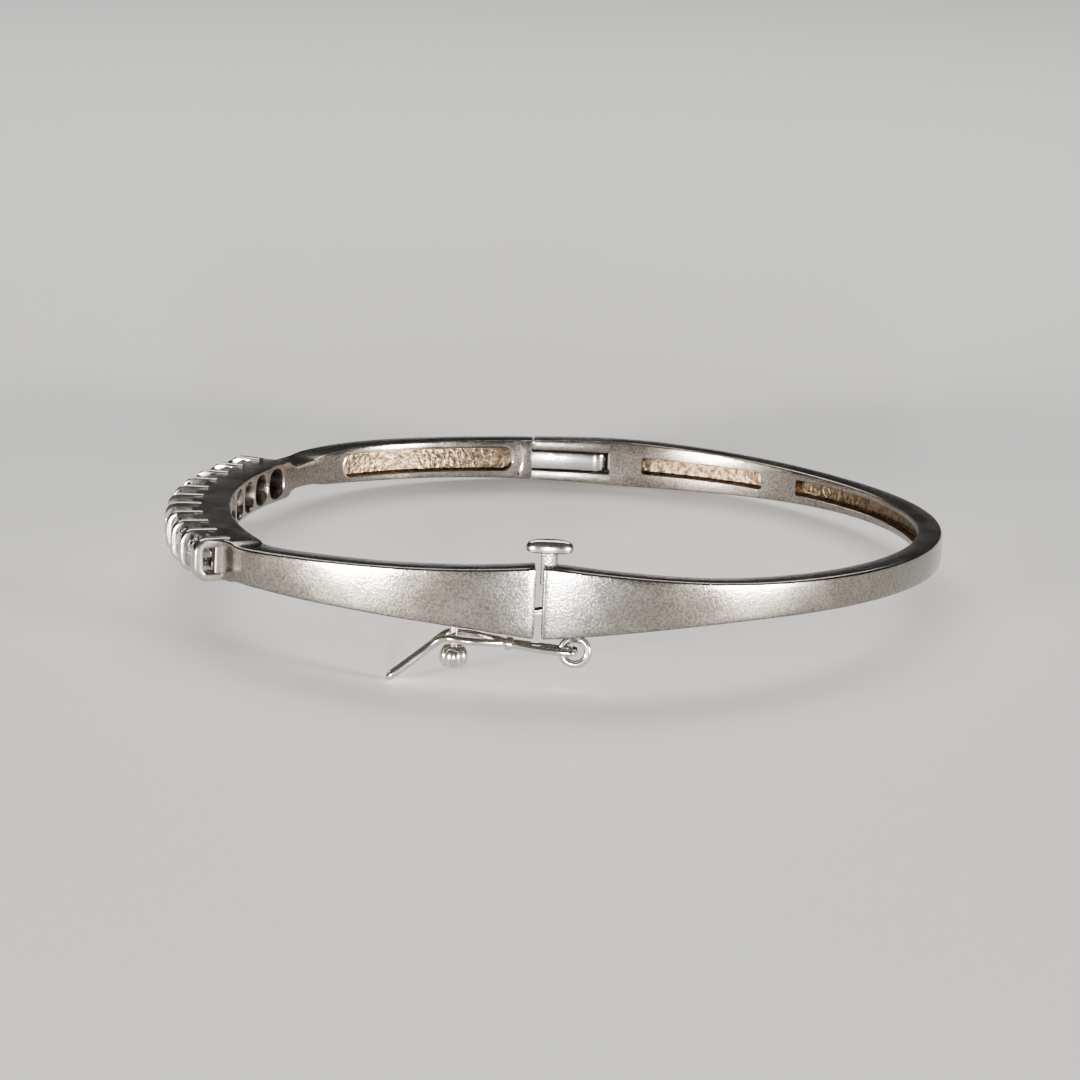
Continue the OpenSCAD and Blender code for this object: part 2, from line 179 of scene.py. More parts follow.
def smooth_table(rows, steps=8):
    """A table with smooth rows between its own, in the order of its first column."""
    table = np.array(rows, float)
    last = len(table) - 1
    out = []
    for i in range(last):
        a, b, c, d = (table[max(0, min(last, j))] for j in range(i - 1, i + 3))
        out += [catmull(a, b, c, d, k / steps) for k in range(steps)]
    out = np.array(out + [table[last]])
    return out[np.argsort(out[:, 0])]


def smooth_ring(rows, steps):
    """A smooth closed line through the rows."""
    table = np.array(rows, float)
    count = len(table)
    return np.array([catmull(table[i - 1], table[i], table[(i + 1) % count], table[(i + 2) % count],
                             k / steps)
                     for i in range(count) for k in range(steps)])


# The band's outline in plan

def bend(side_arc, front, radius, side):
    """Bend that touches two arcs from inside. The side is 1 at the hinge and -1 at the clasp."""
    a, b = np.array(side_arc[:2]), np.array(front[:2])
    span = np.linalg.norm(b - a)
    ahead = (b - a) / span
    x = (span ** 2 + (side_arc.r - radius) ** 2 - (front.r - radius) ** 2) / (2 * span)
    y = side * math.sqrt((side_arc.r - radius) ** 2 - x * x)
    centre = a + x * ahead + y * np.array([-ahead[1], ahead[0]])
    bearings = [math.atan2(centre[1] - start[1], centre[0] - start[0]) for start in (a, b)]
    return Bend(*centre, radius, *bearings)


far_bend = bend(MAIN, FRONT, FAR_BEND_R, 1)
near_bend = bend(NEAR, FRONT, NEAR_BEND_R, -1)
inner_bends = (bend(INNER_MAIN, INNER_FRONT, FAR_BEND_R - 4, 1),
               bend(INNER_NEAR, INNER_FRONT, NEAR_BEND_R - 2, -1))


def side_of(s):
    """The bend and the long arc of a side, and how far along the outer face each begins."""
    turn, arc = (far_bend, MAIN) if s >= 0 else (near_bend, NEAR)
    bend_start = FRONT_R * (math.pi - abs(turn.front_bearing))
    arc_start = bend_start + turn.r * (abs(turn.front_bearing) - abs(turn.side_bearing))
    return turn, arc, bend_start, arc_start


def outline(s):
    """Point of the outer face at s, and the way out of it."""
    turn, arc, bend_start, arc_start = side_of(s)
    away = abs(s)
    if away <= bend_start:
        arc, angle = FRONT, math.pi - away / FRONT_R
    elif away <= arc_start:
        arc, angle = turn, abs(turn.front_bearing) - (away - bend_start) / turn.r
    else:
        angle = abs(turn.side_bearing) - (away - arc_start) / arc.r
    out = np.array([math.cos(angle), math.copysign(1, s) * math.sin(angle)])
    return np.array([arc.x, arc.y]) + arc.r * out, out


def at(s, depth, z):
    """Point at s, depth inside the outer face and z above the band's middle."""
    point, out = outline(s)
    return (*(point - depth * out), z)


def at_bearing(degrees):
    """Place along the outer face of a bearing on the main arc, by way of the hinge side."""
    turn, _, _, arc_start = side_of(1)
    return arc_start + MAIN_R * (turn.side_bearing - math.radians(degrees))


def at_near(degrees):
    """Place along the outer face of a bearing from the centre of the clasp side's arc."""
    turn, arc, _, arc_start = side_of(-1)
    return -arc_start - arc.r * (math.radians(degrees) - turn.side_bearing)


def near_at_x(x):
    """Place along the outer face of a place along X on the clasp side."""
    return at_near(-math.degrees(math.acos((x - NEAR.x) / NEAR.r)))


def girdle_to_face(s):
    """Place along the outer face of a place along the stones' girdles."""
    turn, _, bend_start, _ = side_of(s)
    away = abs(s)
    girdle_start = bend_start * (FRONT_R + GIRDLE_RISE) / FRONT_R
    if away <= girdle_start:
        return s * FRONT_R / (FRONT_R + GIRDLE_RISE)
    return math.copysign(bend_start + (away - girdle_start) * turn.r / (turn.r + GIRDLE_RISE), s)


def bar_place(index):
    """Place of a bar along the outer face. Bar 0 stands at the clasp end of the row."""
    return girdle_to_face(SHIFT + (index - STONES / 2) * PITCH)


def in_sector(turn, x, y):
    """Whether a bend spans the bearing of a place in plan."""
    return min(turn[3:]) < math.atan2(y - turn.y, x - turn.x) < max(turn[3:])


def inside_band(x, y):
    """Whether a place in plan lies inside the band's inner face."""
    side = INNER_NEAR if y < 0 and x < GAP_X else INNER_MAIN
    arcs = [side, INNER_FRONT] + [turn for turn in inner_bends if in_sector(turn, x, y)]
    return all(math.hypot(x - arc.x, y - arc.y) <= arc.r for arc in arcs)


def thick(s):
    """Thickness of the band at s, found by halving the range that it lies in."""
    point, out = outline(s)
    low, high, halvings = 1.0, 4.0, 22
    for _ in range(halvings):
        mid = (low + high) / 2
        low, high = (low, mid) if inside_band(*(point - mid * out)) else (mid, high)
    return high


near_widths = smooth_table(NEAR_EDGE)
far_widths = smooth_table(FAR_EDGE)


def width_at_x(table, x):
    """Width of the band by a side's table."""
    return float(np.interp(x, table[:, 0], table[:, 1]))


def width(s):
    """Width of the band at s, by the outer face on the clasp side and else by the inner one."""
    point, out = outline(s)
    if s < 0:
        return width_at_x(near_widths, point[0])
    table = far_widths if point[1] > 0 else near_widths
    return width_at_x(table, (point - out * thick(s))[0])


# Meshes

def add_object(name, verts, faces, mats, body, face_mats=None, sharp=30, hard=(), nodes=(), weld=0):
    """A metal piece on a body, with hard edges, in place of the solids that nodes names."""
    mesh = bpy.data.meshes.new(name)
    mesh.from_pydata([tuple(v) for v in verts], [], faces)
    for mat in mats:
        mesh.materials.append(mat)
    if face_mats is not None:
        mesh.polygons.foreach_set("material_index", face_mats)
    mesh.transform(AT_REST)
    bm = bmesh.new()
    bm.from_mesh(mesh)
    if weld:
        bmesh.ops.remove_doubles(bm, verts=bm.verts, dist=weld)
    bmesh.ops.recalc_face_normals(bm, faces=bm.faces)
    bm.to_mesh(mesh)
    bm.free()
    mesh.shade_smooth()
    mesh.set_sharp_from_angle(angle=math.radians(sharp))
    keys = {tuple(sorted(pair)) for pair in hard}
    for edge in mesh.edges:
        if tuple(sorted(edge.vertices)) in keys:
            edge.use_edge_sharp = True
    obj = bpy.data.objects.new(name, mesh)
    bpy.context.scene.collection.objects.link(obj)
    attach(obj, body)
    if nodes:
        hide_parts(*nodes)


def loft(name, loops, mats, body, closed=False, mat_of=None, creases=(), **more):
    """A skin over loops of equal length. It is capped at both ends, or closed into a ring."""
    rows, sides = len(loops), len(loops[0])
    verts = [point for loop in loops for point in loop]
    faces, face_mats = [], []
    for i in range(rows if closed else rows - 1):
        a, b = i * sides, ((i + 1) % rows) * sides
        for j in range(sides):
            k = (j + 1) % sides
            faces.append((a + j, a + k, b + k, b + j))
            face_mats.append(mat_of(i, j) if mat_of else 0)
    if not closed:
        faces += [tuple(range(sides - 1, -1, -1)), tuple((rows - 1) * sides + j for j in range(sides))]
        face_mats += [0, 0]
    hard = [(i * sides + j, i * sides + (j + 1) % sides) for i in creases for j in range(sides)]
    add_object(name, verts, faces, mats, body, face_mats, hard=hard, **more)


def corner(x, y, r, start, end, count):
    """Points of a rounded corner about (x, y), between two bearings."""
    return [(x + r * math.cos(a), y + r * math.sin(a))
            for a in np.linspace(math.radians(start), math.radians(end), count)]


def rounded_box(x0, x1, y0, y1, r, corner_r=None):
    """Points round a box whose corners turn about points r inside it."""
    points = []
    for x, y, turn in ((x1 - r, y1 - r, 0), (x0 + r, y1 - r, 90),
                       (x0 + r, y0 + r, 180), (x1 - r, y0 + r, 270)):
        points += corner(x, y, corner_r or r, turn, turn + 90, 4)
    return points


def oval_r(angle, half_l, half_h, power):
    """Radius of an oval at an angle. A power above 2 makes its sides flatter."""
    total = abs(math.cos(angle) / half_l) ** power + abs(math.sin(angle) / half_h) ** power
    return total ** (-1 / power)


# Sections of the band

FACE_POINTS, EDGE_POINTS, FLOOR_POINTS = 9, 4, 6  # of the outer face, an edge, a hollow's floor
INNER_FROM = FACE_POINTS + EDGE_POINTS  # where the inner face starts among a section's points
INNER_TO = INNER_FROM + 2 * EDGE_POINTS + FLOOR_POINTS + 5  # where it ends
FLOOR_FROM = INNER_FROM + EDGE_POINTS + 1  # where a hollow's walls and floor start
FLOOR_TO = FLOOR_FROM + FLOOR_POINTS + 3  # where they end
PLAIN_HALF = 0.5  # half height that a section without a hollow keeps for one
HOLLOW_EDGE = 0.05  # bevel at the top of a hollow's wall
HOLLOW_FOOT = 0.14  # bevel at the foot of that wall
DRAFT = 0.02  # how far the wall leans
LAND = 0.08  # least flat beside a hollow


def section(w, t, half_hollow=PLAIN_HALF, depth=0.0, inset=0.0, crown=CROWN):
    """Section of the band as (depth, height) points, from the outer face round to the inner one."""
    half = w / 2
    outer_r = min(OUTER_EDGE_R, half * 0.8, t * 0.4)
    outer_d = outer_r + crown * 0.8
    inner_r = min(INNER_EDGE_R, outer_r)
    reach = min(half_hollow, half - inner_r - LAND)
    edge = min(HOLLOW_EDGE, reach * 0.3) if depth else 0.0
    foot = min(HOLLOW_FOOT, reach * 0.3)
    foot_d = t - depth + (foot if depth else 0.0)
    floor_top = reach - foot - DRAFT
    face_top = half - outer_r
    points = [(crown * (z / half) ** 2, z) for z in np.linspace(-face_top, face_top, FACE_POINTS)]
    points += corner(outer_d, face_top, outer_r, 180, 90, EDGE_POINTS + 1)[1:]
    points += corner(t - inner_r, half - inner_r, inner_r, 90, 0, EDGE_POINTS)
    points += [(t, reach + edge), (t - edge, reach), (foot_d, reach - DRAFT)]
    points += [(t - depth, z) for z in np.linspace(floor_top, -floor_top, FLOOR_POINTS)]
    points += [(foot_d, -reach + DRAFT), (t - edge, -reach), (t, -reach - edge)]
    points += corner(t - inner_r, -half + inner_r, inner_r, 0, -90, EDGE_POINTS)
    points += corner(outer_d, -face_top, outer_r, -90, -180, EDGE_POINTS + 1)[:-1]
    return [(d + inset, z) for d, z in points]


SQUARE_END_R = 0.25  # rounding of the corners of a hollow with square ends
HOLLOW_STEP = 0.012  # length of a hollow's end wall along the band
END_CLEAR = 0.12  # least distance between a hollow's end and the section before it
BESIDE_HOLLOW = 1.2  # how far beyond a hollow the sections keep the height of its end
TIP_HALF = 0.05  # that height at a round end, as a half
TIP_SQUARE = 0.003  # square of the least half height in a round end
TOUCH = 1e-6  # a place nearer than this to a hollow's end is its end


def end_radius(hollow):
    """Radius of a hollow's corners."""
    return hollow.height / 2 if hollow.round_ends else SQUARE_END_R


def hollow_shape(s, hollows):
    """Half height and depth of the hollow at s."""
    for hollow in hollows:
        if hollow.start - BESIDE_HOLLOW <= s <= hollow.end + BESIDE_HOLLOW:
            half, end_r = hollow.height / 2, end_radius(hollow)
            inside = min(s - hollow.start, hollow.end - s)
            if inside < 0:
                return (TIP_HALF if hollow.round_ends else half), 0.0
            if inside >= end_r:
                return half, HOLLOW_D
            least = TIP_SQUARE if hollow.round_ends else 0.0
            rise = math.sqrt(max(end_r ** 2 - (end_r - inside) ** 2, least))
            return half - end_r + rise, (HOLLOW_D if inside > TOUCH else 0.0)
    return PLAIN_HALF, 0.0


def stations(first, last, hollows, step=0.4):
    """Places of the sections between first and last, closer together at the ends of hollows."""
    out = set(np.linspace(first, last, int(abs(last - first) / step) + 2))
    for hollow in hollows:
        r = end_radius(hollow)
        for end, way in ((hollow.start, 1), (hollow.end, -1)):
            out = {s for s in out if not -END_CLEAR < (s - end) * way < r}
            out |= {end, end + way * HOLLOW_STEP}
            out |= {end + way * r * (1 - math.cos(a)) for a in np.linspace(0.2, math.pi / 2, 8)}
    return sorted(s for s in out if min(first, last) <= s <= max(first, last))


def end_insets(radius_z, radius_d, count):
    """Rows of a rounded end, from its tip: distance from the tip, inset in height, inset in depth."""
    return [(radius_d * (1 - math.cos(a)), radius_z * (1 - math.sin(a)), radius_d * (1 - math.sin(a)))
            for a in np.linspace(0, math.pi / 2, count)]


def gap_loop(x, inset_z, inset_d):
    """The band's section in a plane across it at x, at the clasp."""
    arc = NEAR if x < GAP_X else MAIN
    w = width_at_x(near_widths, x)
    return [(x, arc.y - math.sqrt((arc.r - d) ** 2 - (x - arc.x) ** 2), z)
            for d, z in section(w - 2 * inset_z, BAND_T - 2 * inset_d, inset=inset_d)]


def seam_loop(distance, points):
    """A section of the band bent round the hinge pin at a distance from it, on the seam's side."""
    pin_r = MAIN_R - BAND_T / 2
    out = []
    for d, z in points:
        r = MAIN_R - d
        past_pin = math.acos((r * r + pin_r * pin_r - distance * distance) / (2 * r * pin_r))
        angle = math.radians(HINGE) + past_pin
        out.append((r * math.cos(angle), r * math.sin(angle), z))
    return out


# Materials

def nodes_of(mat):
    """A material's nodes, its links and its shader."""
    mat.use_nodes = True
    return mat.node_tree.nodes, mat.node_tree.links, mat.node_tree.nodes["Principled BSDF"]


def set_inputs(node, **values):
    """Sets a node's inputs by name, with an underscore for each space."""
    for key, value in values.items():
        node.inputs[key.replace("_", " ")].default_value = value


def ranged(nodes, links, source, low, high, to_low, to_high):
    """A value's part between low and high, spread from to_low to to_high."""
    node = nodes.new("ShaderNodeMapRange")
    set_inputs(node, From_Min=low, From_Max=high, To_Min=to_low, To_Max=to_high)
    links.new(source, node.inputs["Value"])
    return node.outputs["Result"]


def metal(name, colour, rough, spread, bump, grain_scale, dirt):
    """Polished or cast metal: mottled roughness, a fine grain in height, and darker specks."""
    mat = bpy.data.materials.new(name)
    nodes, links, bsdf = nodes_of(mat)
    coord = nodes.new("ShaderNodeTexCoord")
    grain = nodes.new("ShaderNodeTexNoise")
    set_inputs(grain, Scale=grain_scale / MM, Detail=2, Roughness=0.6)
    cloud = nodes.new("ShaderNodeTexNoise")
    set_inputs(cloud, Scale=0.45 / MM, Detail=3)
    for noise in (grain, cloud):
        links.new(coord.outputs["Object"], noise.inputs["Vector"])
    mottled = ranged(nodes, links, cloud.outputs["Fac"], 0.3, 0.75, rough, rough + spread)
    tone = nodes.new("ShaderNodeValToRGB")
    dark, clean = tone.color_ramp.elements
    dark.position, clean.position = 0.42, 0.56
    dark.color = (*[c * (1 - dirt) for c in colour], 1)
    clean.color = (*colour, 1)
    links.new(grain.outputs["Fac"], tone.inputs["Fac"])
    lift = nodes.new("ShaderNodeBump")
    set_inputs(lift, Strength=1.0, Distance=bump * MM)
    links.new(grain.outputs["Fac"], lift.inputs["Height"])
    set_inputs(bsdf, Metallic=1.0)
    links.new(mottled, bsdf.inputs["Roughness"])
    links.new(tone.outputs["Color"], bsdf.inputs["Base Color"])
    links.new(lift.outputs["Normal"], bsdf.inputs["Normal"])
    return mat


# Name, colour, roughness and its spread, height of the grain in mm, grains per mm, share of dirt

# Polished, inner and bright are one white metal. The polished and inner band metals are darker than
# real white metal: painted dark reflection. The bright metal of the bars, tongue, wires, lips, ball,
# solder, thumb head and pin has twice their base colour: a painted highlight.
polished = metal("polished_metal", (0.30, 0.275, 0.245), 0.14, 0.07, 0.012, 6.0, 0.4)
painted_highlight_metal = metal("painted_highlight_metal", (0.60, 0.565, 0.52), 0.13, 0.08, 0.005, 5.0, 0.2)
cast = metal("cast_metal", (0.235, 0.165, 0.105), 0.26, 0.2, 0.11, 2.6, 0.65)
inner = metal("inner_metal", (0.32, 0.285, 0.25), 0.16, 0.1, 0.012, 5.5, 0.42)

BAND_MATS = [polished, cast, inner]
POLISHED, CAST, INNER = range(3)


def clear_stone():
    """Material of the stones."""
    mat = bpy.data.materials.new("clear_stone")
    _, _, bsdf = nodes_of(mat)
    set_inputs(bsdf, Base_Color=(1, 1, 1, 1), Roughness=0.0, IOR=2.42, Transmission_Weight=1.0)
    return mat


def band_mat(depths):
    """Material of each face of a band: hollows are cast, the inner face is duller than the outer."""
    def pick(i, j):
        in_hollow = depths[i] or depths[min(i + 1, len(depths) - 1)]
        if FLOOR_FROM <= j < FLOOR_TO and in_hollow:
            return CAST
        return INNER if INNER_FROM <= j < INNER_TO else POLISHED
    return pick


def dress(node_name, mat):
    """Gives a solid of the frame its material."""
    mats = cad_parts[node_name].data.materials
    mats.clear()
    mats.append(mat)


# The plain stretches of the band

first_bar = bar_place(0)
last_bar = bar_place(STONES)
facet_start = -side_of(-1)[3]


def facet(s):
    """How far the flat facet beside the near end bar lies inside the bend."""
    if facet_start < s < first_bar:
        return (s - facet_start) * (first_bar - s) / (2 * NEAR_BEND_R)
    return 0.0


def band(name, body, first, last, hollows, before=(), after=(), creases_at=(), **more):
    """A stretch of the band from first to last, with ready loops before and after it."""
    apart = 0.05
    places = [s for s in stations(first, last, hollows)
              if all(abs(s - crease) > apart for crease in creases_at)]
    places = sorted(places + list(creases_at), reverse=first > last)
    loops, depths, creases = list(before), [0.0] * len(before), []
    for s in places:
        half_hollow, depth = hollow_shape(s, hollows)
        cut = facet(s)
        points = section(width(s), thick(s) - cut, half_hollow, depth, cut, 0.0 if cut else CROWN)
        loops.append([at(s, d, z) for d, z in points])
        depths.append(depth)
        if s in creases_at:
            creases.append(len(loops) - 1)
    loops += list(after)
    depths += [0.0] * len(after)
    loft(name, loops, BAND_MATS, body, mat_of=band_mat(depths), creases=creases, **more)


gap_end = end_insets(radius_z=0.3, radius_d=0.16, count=5)
gap_front = [gap_loop(GAP_FRONT - tip, inset_z, inset_d) for tip, inset_z, inset_d in gap_end]
gap_back = [gap_loop(GAP_BACK + tip, inset_z, inset_d) for tip, inset_z, inset_d in gap_end]
seam_end = [seam_loop(SEAM_R + SEAM_RUN + tip,
                      section(SEAM_W - 2 * inset_z, BAND_T - 2 * inset_d, inset=inset_d))
            for tip, inset_z, inset_d in end_insets(radius_z=0.1, radius_d=0.1, count=4)]

near_hollow = Hollow(at_near(-102), at_near(-123.3), 1.9, round_ends=True)
far_hollow = Hollow(at_bearing(129.2), at_bearing(96.0), 1.9, round_ends=True)
# Hollows of the back half: start bearing, end bearing, height
BACK_HOLLOWS = ((-75, -53, 1.3), (-47, -16, 1.2), (-8, 44, 1.2), (51.2, 73.7, 1.3))
back_hollows = [Hollow(at_bearing(end), at_bearing(start), height, round_ends=False)
                for start, end, height in BACK_HOLLOWS]

band("front_band_near", "front", near_at_x(GAP_FRONT - GAP_CLEAR), first_bar, [near_hollow],
     before=gap_front, creases_at=[facet_start], nodes=["front_half"])
band("front_band_far", "front", last_bar, at_bearing(SEAM_START), [far_hollow], after=seam_end[::-1])
band("back_band", "back", at_bearing(math.degrees(-math.acos((GAP_BACK + GAP_CLEAR) / MAIN_R))),
     at_bearing(FORK_END), back_hollows, before=gap_back, nodes=["back_half"])


# Hinge: the fork's two strips, and between them the tongue with a round end on the pin

def strip(low, high, t, inset=0.0, r=0.08):
    """Section of a plain strip between two heights, as (depth, height) points."""
    points = []
    for d, z, turn in ((r, high - r, 180), (t - r, high - r, 90),
                       (t - r, low + r, 0), (r, low + r, -90)):
        points += corner(d, z, r, turn, turn - 90, 4)
    return [(d + inset, z) for d, z in points]


def fork(name, side):
    """A strip of the fork, from its rounded end at the seam to the whole band. The side is 1 or -1."""
    slot_h, overlap = TONGUE_H / 2 + SLOT_GAP, 0.03
    loops = []
    for tip, inset_z, inset_d in end_insets(radius_z=0.12, radius_d=0.12, count=4):
        low, high = sorted((side * (slot_h + inset_z * 0.5), side * (FORK_W / 2 - inset_z)))
        points = strip(low, high, BAND_T - 2 * inset_d, inset_d)
        loops.append(seam_loop(SEAM_R - SEAM_RUN - tip, points))
    for s in np.linspace(at_bearing(FORK_START), at_bearing(FORK_END) + overlap, 24):
        low, high = sorted((side * slot_h, side * width(s) / 2))
        loops.append([at(s, d, z) for d, z in strip(low, high, thick(s), r=0.13)])
    loft(name, loops, [inner], "back")


fork("fork_upper", 1)
fork("fork_lower", -1)


def hinge_tongue():
    """The tongue along the band, and the half of its round end beyond the pin."""
    half_h, pin = TONGUE_H / 2, at_bearing(HINGE)
    points = strip(-half_h, half_h, BAND_T - 2 * TONGUE_INSET, TONGUE_INSET, 0.1)
    loops = [[at(s, d, z) for d, z in points] for s in np.linspace(at_bearing(TONGUE_START), pin, 26)]
    for a in np.linspace(0.15, 1.45, 9):
        half = KNUCKLE_R * math.cos(a)
        points = strip(-half_h, half_h, 2 * half, BAND_T / 2 - half, min(0.1, half * 0.6))
        loops.append([at(pin + KNUCKLE_R * math.sin(a), d, z) for d, z in points])
    loft("hinge_tongue", loops, [painted_highlight_metal], "front")


hinge_tongue()


# Raised lips on the inner face

NEARLY_UP = (0.13, 0.2, 1.0)  # a way that no wire starts along


def tube(name, path, radius, sides, body, closed=True, **more):
    """A round wire along a path. The twist that a closed one gathers is spread along it."""
    path = np.array(path, float)
    count = len(path)
    ahead = unit(np.roll(path, -1, 0) - np.roll(path, 1, 0) if closed else np.gradient(path, axis=0))
    across = np.cross(ahead[0], NEARLY_UP)
    ways = []
    for way in ahead:
        across = unit(across - way * (across @ way))
        ways.append(across)
    twist = 0.0
    if closed:
        last = unit(ways[-1] - ahead[0] * (ways[-1] @ ahead[0]))
        twist = math.atan2(np.cross(last, ways[0]) @ ahead[0], last @ ways[0])
    loops = []
    for i in range(count):
        up = np.cross(ahead[i], ways[i])
        angles = twist * i / count + np.linspace(0, 2 * math.pi, sides, endpoint=False)
        loops.append([path[i] + radius * (math.cos(a) * ways[i] + math.sin(a) * up) for a in angles])
    loft(name, loops, [painted_highlight_metal], body, closed=closed, **more)


def rim(name, hollow):
    """A thin raised lip round a hollow with round ends."""
    r, sunk, wire_r = 0.97, 0.02, 0.09
    low, high = hollow.start + r, hollow.end - r
    path = []
    for end, other, turn, side in ((high, low, -90, 1), (low, high, 90, -1)):
        path += corner(end, 0, r, turn, turn + 180, 17)
        path += [(s, side * r) for s in np.linspace(end, other, 40)[1:-1]]
    tube(name, [at(s, thick(s) - sunk, z) for s, z in path], wire_r, 8, "front")


def hinge_lip():
    """The lip in the shape of a C between the hollow and the hinge."""
    bearing, half_l, half_h, reach = 95.2, 0.5, 1.34, math.radians(80)
    middle = at_bearing(bearing)
    proud, wire_r = 0.04, 0.19
    path = [at(middle + half_l * math.cos(a), thick(middle) + proud, half_h * math.sin(a))
            for a in np.linspace(-reach, reach, 25)]
    tube("hinge_lip", path, wire_r, 10, "front", closed=False)


rim("pocket_rim_far", far_hollow)
rim("pocket_rim_near", near_hollow)
hinge_lip()


# Rail under the stones, with a window behind each

RAIL_EDGE_R = 0.13  # rounding of the rail's edges
RAIL_STEPS = 8  # faces along and across the rail beside a window
WINDOW_POWER = 2.4  # power of the oval that a window is
# From the outer face in: half length and half height of the window, depth, share of the rail's edge
WINDOW_RINGS = ((1.24, 1.04, 0.0, 0.5), (1.24, 1.04, 0.0, 0.08), (1.22, 1.02, 0.05, 0),
                (1.24, 1.03, 0.5, 0), (1.3, 1.06, 1.5, 0), (1.4, 1.1, FRONT_T - 0.15, 0),
                (1.44, 1.14, FRONT_T - 0.05, 0), (1.5, 1.2, FRONT_T, 0.05), (1.5, 1.2, FRONT_T, 0.5))


def window_rings(half_l):
    """Rings of (s, z, depth) round a window, from the rail's outer edge through it to the inner one."""
    flat_h = RAIL_W / 2 - RAIL_EDGE_R
    across = np.linspace(-half_l, half_l, RAIL_STEPS + 1)
    up = np.linspace(-flat_h, flat_h, RAIL_STEPS + 1)
    edge = [(half_l, z) for z in up[:-1]] + [(s, flat_h) for s in across[::-1][:-1]]
    edge += [(-half_l, z) for z in up[::-1][:-1]] + [(s, -flat_h) for s in across[:-1]]
    rings = [[(s, z, 0.0) for s, z in edge]]
    for window_l, window_h, depth, share in WINDOW_RINGS:
        ring = []
        for s, z in edge:
            angle = math.atan2(z, s)
            r = (1 - share) * oval_r(angle, window_l, window_h, WINDOW_POWER)
            ring.append((share * s + r * math.cos(angle), share * z + r * math.sin(angle), depth))
        rings.append(ring)
    return rings + [[(s, z, FRONT_T) for s, z in edge]]


def rail_side(side):
    """Profile of a side of the rail as (depth, height) points. The side is 1 or -1."""
    half, r, before_edge = RAIL_W / 2, RAIL_EDGE_R, 0.3
    points = [(0.0, half - r)] + corner(r, half - r, r, 180, 90, 4)[1:]
    points += [(FRONT_T - r - before_edge, half)] + corner(FRONT_T - r, half - r, r, 90, 0, 4)
    return [(d, side * z) for d, z in points]


def add_grid(verts, faces, rows, closed):
    """Adds rows of points with faces between them, to points and faces."""
    base, count = len(verts), len(rows[0])
    for i, row in enumerate(rows):
        verts.extend(row)
        if i:
            a, b = base + (i - 1) * count, base + i * count
            for j in range(count if closed else count - 1):
                k = (j + 1) % count
                faces.append((a + j, a + k, b + k, b + j))


def rail():
    """The rail, made of a stretch for each stone."""
    verts, faces = [], []
    for i in range(STONES):
        start, end = bar_place(i), bar_place(i + 1)
        mid, half_l = (start + end) / 2, (end - start) / 2
        rings = [[at(mid + s, d, z) for s, z, d in ring] for ring in window_rings(half_l)]
        add_grid(verts, faces, rings, closed=True)
        for side in (1, -1):
            rows = [[at(mid + s, d, z) for d, z in rail_side(side)]
                    for s in np.linspace(-half_l, half_l, RAIL_STEPS + 1)]
            add_grid(verts, faces, rows, closed=False)
    add_object("stone_rail", verts, faces, [inner], "front", weld=0.002 * MM)


rail()


# Bars between the stones

def bar(index):
    """An arch over the rail, with a leg down each side."""
    point, out = outline(bar_place(index))
    beside = np.array([-out[1], out[0]])
    half_t = (END_BAR_T if index in (0, STONES) else BAR_T) / 2
    half_w, half_d, edge_r = BAR_W / 2, BAR_D / 2, 0.2
    bend_x, bend_z, bend_r = BAR_RISE - SHOULDER_R, half_w - SHOULDER_R, SHOULDER_R - half_d
    shoulder = [(bend_x + bend_r * math.sin(a), bend_z + bend_r * math.cos(a))
                for a in np.linspace(0, math.pi / 2, 8)[1:]]
    leg_z, leg_low, top_z = half_w - half_d, -0.4, 0.2
    leg = [(-BAR_LEG, leg_z)] + [(x, leg_z) for x in np.linspace(leg_low, bend_x, 5)]
    top = [(BAR_RISE - half_d, z) for z in (-top_z, 0.0, top_z)]
    one_side = leg + shoulder
    path = np.array([(x, -z) for x, z in one_side] + top + one_side[::-1])
    loops = []
    for (x, z), (ahead_x, ahead_z) in zip(path, unit(np.gradient(path, axis=0))):
        loop = []
        for a, b in rounded_box(-half_t, half_t, -half_d, half_d, edge_r):
            in_plan = point + out * (x + b * ahead_z) + beside * a
            loop.append((*in_plan, z - b * ahead_x))
        loops.append(loop)
    loft("bar_%02d" % (index + 1), loops, [painted_highlight_metal], "front")


def foot(name, index):
    """The cross piece between the legs of an end bar, which closes its frame beside the band."""
    point, out = outline(bar_place(index))
    beside = np.array([-out[1], out[0]])
    depth, height, half_t, half_h, edge_r = 0.24, 0.4, 0.44, 1.2, 0.14
    ring = rounded_box(-depth, height, -half_t, half_t, edge_r)
    loops = [[(*(point + out * x + beside * a), z) for x, a in ring] for z in (-half_h, half_h)]
    loft(name, loops, [painted_highlight_metal], "front")


for i in range(STONES + 1):
    bar(i)
foot("bar_foot_near", 0)
foot("bar_foot_far", STONES)

diamond = clear_stone()
for i in range(STONES):
    dress("stone_%02d" % (i + 1), diamond)


# Safety clip and the eye ring that it hangs in

clip_turn = math.atan2(BALL[1] - EYE[1], BALL[0] - EYE[0])


def clip_place(rows):
    """Points from rows of the distance along the clip, the distance aside, and the height."""
    along = [math.cos(clip_turn), math.sin(clip_turn), 0]
    aside = [-math.sin(clip_turn), math.cos(clip_turn), 0]
    return np.array([EYE[0], EYE[1], 0]) + np.array(rows) @ np.array([along, aside, [0, 0, 1]])


def clip_wrap():
    """Thin wire wound three times round the clip's waist."""
    start, length, turns, steps = 4.3, 0.45, 3, 60
    half_w, half_h, middle, wire_r = 0.52, 0.38, -3.06, 0.1
    rows = []
    for share in np.linspace(0, 1, steps + 1):
        angle = 2 * math.pi * turns * share
        z = middle + half_h * math.sin(angle)
        rows.append((start + length * share, half_w * math.cos(angle), z))
    tube("clip_wrap", clip_place(rows), wire_r, 8, "clip", closed=False)


